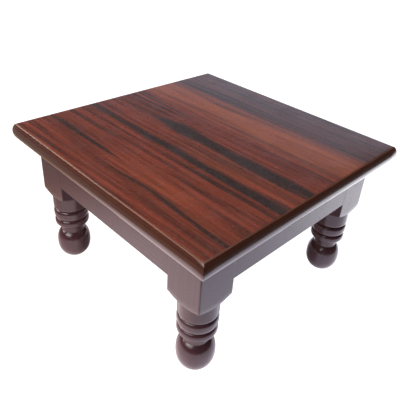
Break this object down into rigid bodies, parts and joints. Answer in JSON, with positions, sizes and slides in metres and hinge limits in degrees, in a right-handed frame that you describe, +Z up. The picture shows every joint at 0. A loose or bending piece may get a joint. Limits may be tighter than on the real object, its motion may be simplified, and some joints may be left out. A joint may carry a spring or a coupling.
{
  "type": "low table book stand",
  "caption": "Low square wooden table that holds a Quran or prayer book: wood-pattern laminated top with rounded lipping, plain aprons and turned legs that end in ball feet.",
  "frame": {"origin": "middle of the table on the floor that the foot pads stand on", "axes": "+Z up; X and Y along the sides of the top, the laminate's grain along X; the front is the -Y side"},
  "size_m": [0.305, 0.305, 0.178],
  "materials": {
    "laminate": "rosewood-pattern laminate sheet, semi-gloss",
    "lipping": "dark red-brown stained wood, clear gloss lacquer",
    "painted_wood": "dark brown wood finish, glossy",
    "board": "bare plywood, sanded",
    "batten_wood": "bare softwood, planed",
    "screw_steel": "yellow zinc plated",
    "pad_plastic": "black moulded plastic, matt",
    "nail_steel": "plain bright steel"
  },
  "bodies": {
    "root": {"top_board": "board", "laminate_sheet": "laminate", "lipping_front": "lipping", "lipping_right": "lipping", "lipping_back": "lipping", "lipping_left": "lipping", "apron_front": "painted_wood", "apron_right": "painted_wood", "apron_back": "painted_wood", "apron_left": "painted_wood", "leg_front_left": "painted_wood", "leg_front_right": "painted_wood", "leg_back_right": "painted_wood", "leg_back_left": "painted_wood", "batten_front": "batten_wood", "batten_right": "batten_wood", "batten_back": "batten_wood", "batten_left": "batten_wood", "batten_screws_front": "screw_steel", "batten_screws_right": "screw_steel", "batten_screws_back": "screw_steel", "batten_screws_left": "screw_steel", "foot_pad_front_left": "pad_plastic", "foot_pad_front_right": "pad_plastic", "foot_pad_back_right": "pad_plastic", "foot_pad_back_left": "pad_plastic", "pad_nail_front_left": "nail_steel", "pad_nail_front_right": "nail_steel", "pad_nail_back_right": "nail_steel", "pad_nail_back_left": "nail_steel"}
  },
  "joints": []
}
